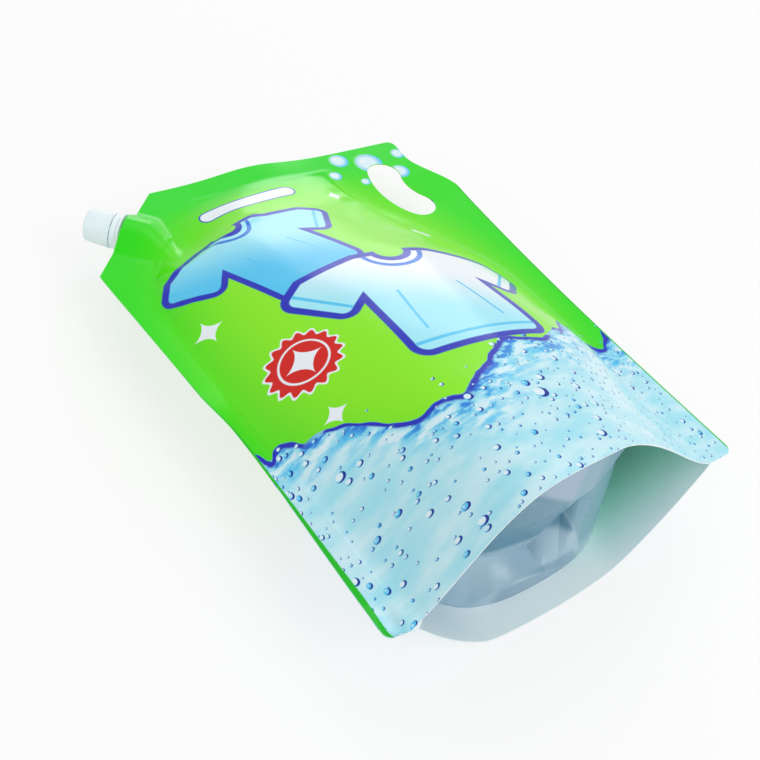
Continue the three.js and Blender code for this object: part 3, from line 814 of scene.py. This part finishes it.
def handleCutter():
    half, end, lean = math.radians(handle["arcAngle"]) / 2, handle["width"] / 2, math.radians(handle["lean"])
    middle = handle["arcRadius"]
    arc = np.linspace(-half, half, handle["steps"])
    turn = np.linspace(0, np.pi, handle["steps"])[1:-1]
    ring = lambda angle, radius: np.stack([radius * np.cos(angle), radius * np.sin(angle)], -1)
    upperEnd = ring(half, middle) + ring(half + turn, end)
    lowerEnd = ring(-half, middle) + ring(np.pi - half + turn, end)
    outline = np.concatenate([ring(arc, middle + end), upperEnd, ring(arc[::-1], middle - end), lowerEnd])
    c, s = math.cos(np.pi + lean), math.sin(np.pi + lean)
    outline = outline @ np.array([[c, s], [-s, c]])
    outline[:, 0] += halfWidth - handle["inset"] + middle * math.cos(lean)
    outline[:, 1] += packHeight / 2 - handle["drop"] + middle * math.sin(lean)
    return prism("handle_hole", outline, handle["heights"], backInk, 0.001)


def prism(name, outline, heights, ink, unit):
    count = len(outline)
    points = np.concatenate([np.c_[outline, np.full(count, z)] for z in heights])
    at = np.append(np.arange(count), 0)
    faces = [*stripFaces(at, at + count), range(count), range(count, 2 * count)]
    return newMesh(name, points, faces, np.zeros(len(faces)), [ink], points[:, :2], unit)


def applyModifiers(piece):
    done = piece.evaluated_get(bpy.context.evaluated_depsgraph_get())
    mesh = bpy.data.meshes.new_from_object(done)
    piece.modifiers.clear()
    piece.data = mesh


def cutAway(piece, cutter, how="DIFFERENCE"):
    trim = piece.modifiers.new("cut", "BOOLEAN")
    trim.operation, trim.solver, trim.object = how, "EXACT", cutter
    trim.material_mode = "TRANSFER"
    applyModifiers(piece)
    bpy.data.objects.remove(cutter)


def dropSlivers(piece, least=5e-6):  # points that only split an edge, and faces too thin to see
    with editing(piece.data) as work:
        bmesh.ops.dissolve_verts(work, verts=[point for point in work.verts if len(point.link_edges) == 2])
        bmesh.ops.dissolve_degenerate(work, dist=least, edges=work.edges)


def creaseFilm(piece):  # smooth film, with crisp folds in the gusset
    piece.data.shade_smooth()
    gusset = piece.data.materials.find(gussetInk.name)
    with editing(piece.data) as work:
        for edge in work.edges:
            folded = all(face.material_index == gusset for face in edge.link_faces)
            crease = foot["creaseAngle"] if folded else pouch["creaseAngle"]
            edge.smooth = edge.calc_face_angle(0) < math.radians(crease)


# small trees of geometry nodes, with a named input for each size
class Growth:
    def __init__(self, name, sizes):
        self.tree = bpy.data.node_groups.new(name, "GeometryNodeTree")
        self.sizes = sizes
        face = self.tree.interface
        numbers = {label: "Int" if isinstance(value, int) else "Float" for label, value in sizes.items()}
        for label, kind in {"Geometry": "Geometry", **numbers, "Material": "Material"}.items():
            face.new_socket(label, in_out="INPUT", socket_type="NodeSocket" + kind)
        face.new_socket("Geometry", in_out="OUTPUT", socket_type="NodeSocketGeometry")
        self.entry = self.tree.nodes.new("NodeGroupInput").outputs

    def add(self, kind, values=None, **settings):
        kind = kind.replace(":", "Node") if ":" in kind else "GeometryNode" + kind
        return addNode(self.tree, kind, values, **settings).outputs[0]

    def point(self, **parts):  # a vector from sizes
        return self.add("Shader:CombineXYZ", parts)

    def taper(self, full, ends, run, bothEnds):  # thickness along a curve
        along = self.add("SplineParameter")
        if bothEnds:
            along = self.add("Shader:Math", {0: along, 1: 0.5}, operation="PINGPONG")
        return self.add("Shader:MapRange", {"Value": along, "From Max": run, "To Min": ends, "To Max": full})

    def rod(self, path, sides, taper):  # a round section along a curve
        profile = self.add("CurvePrimitiveCircle", {"Resolution": sides, "Radius": self.entry["Thickness"]})
        values = {"Curve": path, "Profile Curve": profile, "Scale": self.taper(**taper), "Fill Caps": True}
        return self.add("CurveToMesh", values)

    def ringOf(self, shape, count, radius, height):  # copies round the axis, each turned to face outwards
        ring = self.add("MeshCircle", {"Vertices": count, "Radius": radius})
        lifted = self.add("Transform", {"Geometry": ring, "Translation": self.point(Z=height)})
        fromAxis = {"Vector": self.add("InputPosition")}
        facing = self.add("Function:AlignRotationToVector", fromAxis, axis="X", pivot_axis="Z")
        return self.add("InstanceOnPoints", {"Points": lifted, "Instance": shape, "Rotation": facing})

    def grow(self, piece, shape, ink):  # one closed body with what it grows on
        union = addNode(self.tree, "GeometryNodeMeshBoolean", operation="UNION", solver="EXACT")
        for part in (self.entry["Geometry"], shape):
            self.tree.links.new(part, union.inputs["Mesh 2"])
        real = self.add("RealizeInstances", {"Geometry": union.outputs[0]})
        inked = self.add("SetMaterial", {"Geometry": real, "Material": self.entry["Material"]})
        addNode(self.tree, "NodeGroupOutput", {0: inked})
        run = piece.modifiers.new(self.tree.name, "NODES")
        run.node_group = self.tree
        values = {**self.sizes, "Material": ink}
        for item in self.tree.interface.items_tree:
            if item.in_out == "INPUT" and item.name in values:
                run[item.identifier] = values[item.name]
        applyModifiers(piece)


# the moulded closure, in mm along and round the spout's axis: outlines are (radius, height)
closure = {
    "segments": 112, "edgeAngle": 34, "weld": 1e-5,
    "cap": [(0, 18.3), (3.5, 18.3), (3.5, 15.9), (3.7, 15.7), (4.1, 15.7), (4.4, 16.1), (4.4, 18.3),
            (7.4, 18.3), (7.4, 6.5), (7.7, 6.2), (8.8, 6.2), (9, 6.4), (9, 12.5), (8.8, 15), (8.5, 18.9),
            (8.42, 19.35), (8.16, 19.75), (7.76, 20.02), (7.3, 20.1), (6.6, 20.1), (6.35, 19.85),
            (1.1, 19.85), (0.9, 19.7), (0, 19.7)],
    "ribs": {"Count": 32, "Radius": 8.86, "Start": 6.55, "Length": 5.6, "Lean": -0.36, "Thickness": 0.55},
    "ribSides": 10, "ribTaper": {"full": 0.6, "ends": 1, "run": 1, "bothEnds": False},
    "capThread": {"Turns": 2.0, "Pitch": 3.0, "Radius": 7.42, "Start": 9.5, "Thickness": 0.5},
    "neckThread": {"Turns": 2.8, "Pitch": 3.0, "Radius": 6.36, "Start": 8.0, "Thickness": 0.55},
    "threadSteps": 56, "threadSides": 8,
    "threadTaper": {"full": 1, "ends": 0.15, "run": 0.06, "bothEnds": True},
    "band": [(6.6, 2.5), (9, 2.5), (9.2, 2.7), (9.2, 5.5), (9, 5.7), (7.5, 5.7), (7.3, 5.5), (7.3, 3.7),
             (6.6, 3.3)],
    "bridges": {"Count": 8, "Radius": 8.3, "Height": 5.83, "Depth": 0.9, "Width": 1.1, "Rise": 0.44},
    "spout": [(4.7, -11.9), (6.3, -11.9), (6.3, 0.8), (10.1, 0.8), (10.3, 1), (10.3, 2), (10.1, 2.2),
              (6.3, 2.2), (6.3, 3.6), (7, 3.6), (7, 3.8), (6.3, 4.6), (6.3, 17.5), (5.9, 18), (5.1, 18),
              (4.7, 17.6)],
    # the boat inside the film: half width and thickness, and the heights where plain part and ribs change
    "boat": {"plain": (13.4, 7), "rib": (14, 7.6), "hole": 5.5, "points": 96,
             "clearance": 0.05, "pocket": (-12.05, 4),
             "steps": [-12, "rib", -10.2, "plain", -6.9, "rib", -5.1, "plain", -1.8, "rib", 0, "plain", 1.4]},
}


def fullTurn(count):
    return np.linspace(0, 2 * np.pi, count, endpoint=False)


def ringed(name, angle, rings, closed, ink, weld=0):  # a skin over rings of (radius, height)
    across, along = np.cos(angle), np.sin(angle)
    rows = [(radius * across, radius * along, np.full(len(angle), z)) for radius, z in rings]
    points = np.stack([np.stack(row, -1) for row in rows])
    at = np.arange(points.size // 3).reshape(points.shape[:2])
    around = np.concatenate([at, at[:, :1]], 1)
    if closed:
        around = np.concatenate([around, around[:1]])
    quads = np.concatenate([stripFaces(a, b) for a, b in zip(around, around[1:])])
    return newMesh(name, points, quads, np.zeros(len(quads)), [ink], unit=1, weld=weld)


def turned(name, outline, ink):  # a ring closes on itself, and a cap ends on its axis
    return ringed(name, fullTurn(closure["segments"]), outline, outline[0][0] > 0, ink, closure["weld"])


def boatRim(angle, halfAcross, halfThrough):  # two arcs that meet in points
    off = (halfAcross**2 - halfThrough**2) / (2 * halfThrough) * np.abs(np.sin(angle))
    return np.sqrt(off**2 + halfAcross**2) - off


def ribbedBoat(name, ink):  # pointed at both ends, with a round hole
    boat = closure["boat"]
    angle = fullTurn(boat["points"])
    rim = {"hole": np.full(len(angle), boat["hole"])}
    for part in ("plain", "rib"):
        rim[part] = boatRim(angle, *boat[part])
    heights, parts = boat["steps"][::2], boat["steps"][1::2]
    rings = [("hole", heights[0])]
    for part, low, high in zip(parts, heights, heights[1:]):
        rings += [(part, low), (part, high)]
    rings.append(("hole", heights[-1]))
    return ringed(name, angle, [(rim[part], z) for part, z in rings], True, ink)


def screwThread(piece, name, sizes, ink):
    thread = Growth(name, {**sizes, "Rise": sizes["Turns"] * sizes["Pitch"]})
    size = thread.entry
    coil = thread.add("CurveSpiral", {
        "Resolution": closure["threadSteps"], "Rotations": size["Turns"], "Start Radius": size["Radius"],
        "End Radius": size["Radius"], "Height": size["Rise"], "Reverse": True})
    lifted = thread.add("Transform", {"Geometry": coil, "Translation": thread.point(Z=size["Start"])})
    thread.grow(piece, thread.rod(lifted, closure["threadSides"], closure["threadTaper"]), ink)


def screwCap():
    cap = turned("screw_cap", closure["cap"], capInk)
    ribs = Growth("capRibs", closure["ribs"])
    size = ribs.entry
    line = ribs.add("CurvePrimitiveLine", {"End": ribs.point(X=size["Lean"], Z=size["Length"])})
    rib = ribs.rod(line, closure["ribSides"], closure["ribTaper"])
    ribs.grow(cap, ribs.ringOf(rib, size["Count"], size["Radius"], size["Start"]), capInk)
    screwThread(cap, "capThread", closure["capThread"], capInk)
    return cap


def tamperRing():
    band = turned("tamper_ring", closure["band"], capInk)
    bridges = Growth("bandBridges", closure["bridges"])
    size = bridges.entry
    block = bridges.add("MeshCube", {"Size": bridges.point(X=size["Depth"], Y=size["Width"], Z=size["Rise"])})
    bridges.grow(band, bridges.ringOf(block, size["Count"], size["Radius"], size["Height"]), capInk)
    return band


def spoutFitment():
    spout = turned("spout_fitment", closure["spout"], spoutInk)
    screwThread(spout, "neckThread", closure["neckThread"], spoutInk)
    cutAway(spout, ribbedBoat("boat", spoutInk), "UNION")
    return spout


def boatPocket():  # the film is welded round the boat
    boat = closure["boat"]
    angle = fullTurn(boat["points"])
    rim = boatRim(angle, *(size + boat["clearance"] for size in boat["rib"]))
    outline = np.stack([rim * np.cos(angle), rim * np.sin(angle)], -1)
    return prism("boat_pocket", outline, boat["pocket"], skirtInk, 1)


capTurn = frame["record"]["behaviour"]["joints"][0]
outward, down = Vector(capTurn["axis"]).normalized(), Vector((0, 0, -1))
spoutTurn = Matrix((down.cross(outward), down, outward)).transposed().to_4x4()
spoutFrame = Matrix.Translation(capTurn["pos_m"]) @ spoutTurn @ Matrix.Scale(0.001, 4)  # from mm

film, pocket = filmShell(), boatPocket()
pocket.data.transform(spoutFrame)
for cutter in (footCutter(), handleCutter(), pocket):
    cutAway(film, cutter)
dropSlivers(film)
creaseFilm(film)
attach(film, "pouch")
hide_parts("pouch")
print("pouch film:", len(film.data.polygons), "faces")

for piece, body, node, slot in ((spoutFitment(), "pouch", "spout", "spout_plastic"),
                                (tamperRing(), "tamper_band", "tamper_band", "cap_plastic"),
                                (screwCap(), "cap", "cap", "cap_plastic")):
    piece.data.transform(spoutFrame)
    dropSlivers(piece)
    piece.data.shade_smooth()
    piece.data.set_sharp_from_angle(angle=math.radians(closure["edgeAngle"]))
    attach(piece, body)
    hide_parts(node)
    print(piece.name + ":", len(piece.data.polygons), "faces")

# floor, light and camera, in metres
stage = {
    "floor": 6, "floorDrop": 0.0003, "floorColor": (0.95, 0.95, 0.95), "floorRoughness": 0.9,
    "whiteness": 0.72, "fade": (0.25, 1.3), "sky": 0.58,
    "lamps": [  # name, place, aim, size and watts
        ("keyLight", (0.35, 0.5, 1.3), (0, 0, 0), 1.0, 3.6),
        ("fillLight", (0.35, -0.95, 1.0), (0, 0, 0), 0.8, 5.5),
        ("sideLight", (-1.2, -0.1, 0.75), (0, 0, 0), 0.8, 2.0),
        ("backLight", (0.85, 1.4, 0.42), (0, 0, 0.03), 0.7, 3.2),
    ],
}
view = {
    "lens": 43.30, "sensor": 36, "azimuth": -45.29, "elevation": 46.3, "roll": 15.74,
    "distance": 0.44941, "centre": (-0.02073, -0.01947, 0.030),
}


def seenRays(tree):  # 1 where a camera, a mirror or glass looks, 0 for the light that falls on things
    rays = tree.nodes.new("ShaderNodeLightPath").outputs
    kinds = [Field(tree, rays[f"Is {kind} Ray"]) for kind in ("Camera", "Glossy", "Transmission")]
    return kinds[0].most(kinds[1]).most(kinds[2])


floorMesh = bpy.data.meshes.new("floor")
half = stage["floor"] / 2
floorCorners = [(-half, -half, 0), (half, -half, 0), (half, half, 0), (-half, half, 0)]
floorMesh.from_pydata(floorCorners, [], [(0, 1, 2, 3)])
floor = bpy.data.objects.new("floor", floorMesh)
scene.collection.objects.link(floor)
floor.location.z = -stage["floorDrop"]
floorInk = bpy.data.materials.new("floorPaint")
floorInk.use_nodes = True
floorTree = floorInk.node_tree
paint = floorTree.nodes["Principled BSDF"]
floorLook = {"Base Color": (*stage["floorColor"], 1), "Roughness": stage["floorRoughness"]}
fill(floorTree, paint, floorLook)
glow = addNode(floorTree, "ShaderNodeEmission")
floorPlace = addNode(floorTree, "ShaderNodeTexCoord").outputs["Object"]
apart = addNode(floorTree, "ShaderNodeVectorMath", {0: floorPlace}, operation="LENGTH")
away = Field(floorTree, apart.outputs["Value"]).ramp(*stage["fade"])  # the floor pales into the backdrop
whiteness = seenRays(floorTree) * (away * (1 - stage["whiteness"]) + stage["whiteness"])
shades = {"Fac": whiteness, 1: paint.outputs[0], 2: glow.outputs[0]}
blend = addNode(floorTree, "ShaderNodeMixShader", shades)
fill(floorTree, floorTree.nodes["Material Output"], {"Surface": blend.outputs[0]})
floorMesh.materials.append(floorInk)

world = bpy.data.worlds.new("studio")
scene.world = world
world.use_nodes = True
strength = seenRays(world.node_tree) * (1 - stage["sky"]) + stage["sky"]
backdrop = world.node_tree.nodes["Background"]
fill(world.node_tree, backdrop, {"Color": (1, 1, 1, 1), "Strength": strength})


def softBox(name, place, aim, size, watts):
    lamp = bpy.data.lights.new(name, "AREA")
    lamp.shape, lamp.size, lamp.energy = "SQUARE", size, watts
    holder = bpy.data.objects.new(name, lamp)
    holder.location = place
    holder.rotation_euler = (Vector(aim) - Vector(place)).to_track_quat("-Z", "Y").to_euler()
    scene.collection.objects.link(holder)


for lamp in stage["lamps"]:
    softBox(*lamp)

cameraData = bpy.data.cameras.new("camera")
cameraData.lens, cameraData.sensor_width = view["lens"], view["sensor"]
camera = bpy.data.objects.new("camera", cameraData)
azimuth, elevation, roll = (math.radians(view[key]) for key in ("azimuth", "elevation", "roll"))
level = math.cos(elevation)
backward = Vector((math.sin(azimuth) * level, -math.cos(azimuth) * level, math.sin(elevation)))
sideways = Vector((math.cos(azimuth), math.sin(azimuth), 0))
upward = backward.cross(sideways)
cameraX = math.cos(roll) * sideways + math.sin(roll) * upward
cameraY = math.cos(roll) * upward - math.sin(roll) * sideways
cameraTurn = Matrix((cameraX, cameraY, backward)).transposed().to_4x4()
camera.matrix_world = Matrix.Translation(Vector(view["centre"]) + backward * view["distance"]) @ cameraTurn
scene.collection.objects.link(camera)
scene.camera = camera
scene.view_settings.view_transform = "Standard"
print("stage ready")
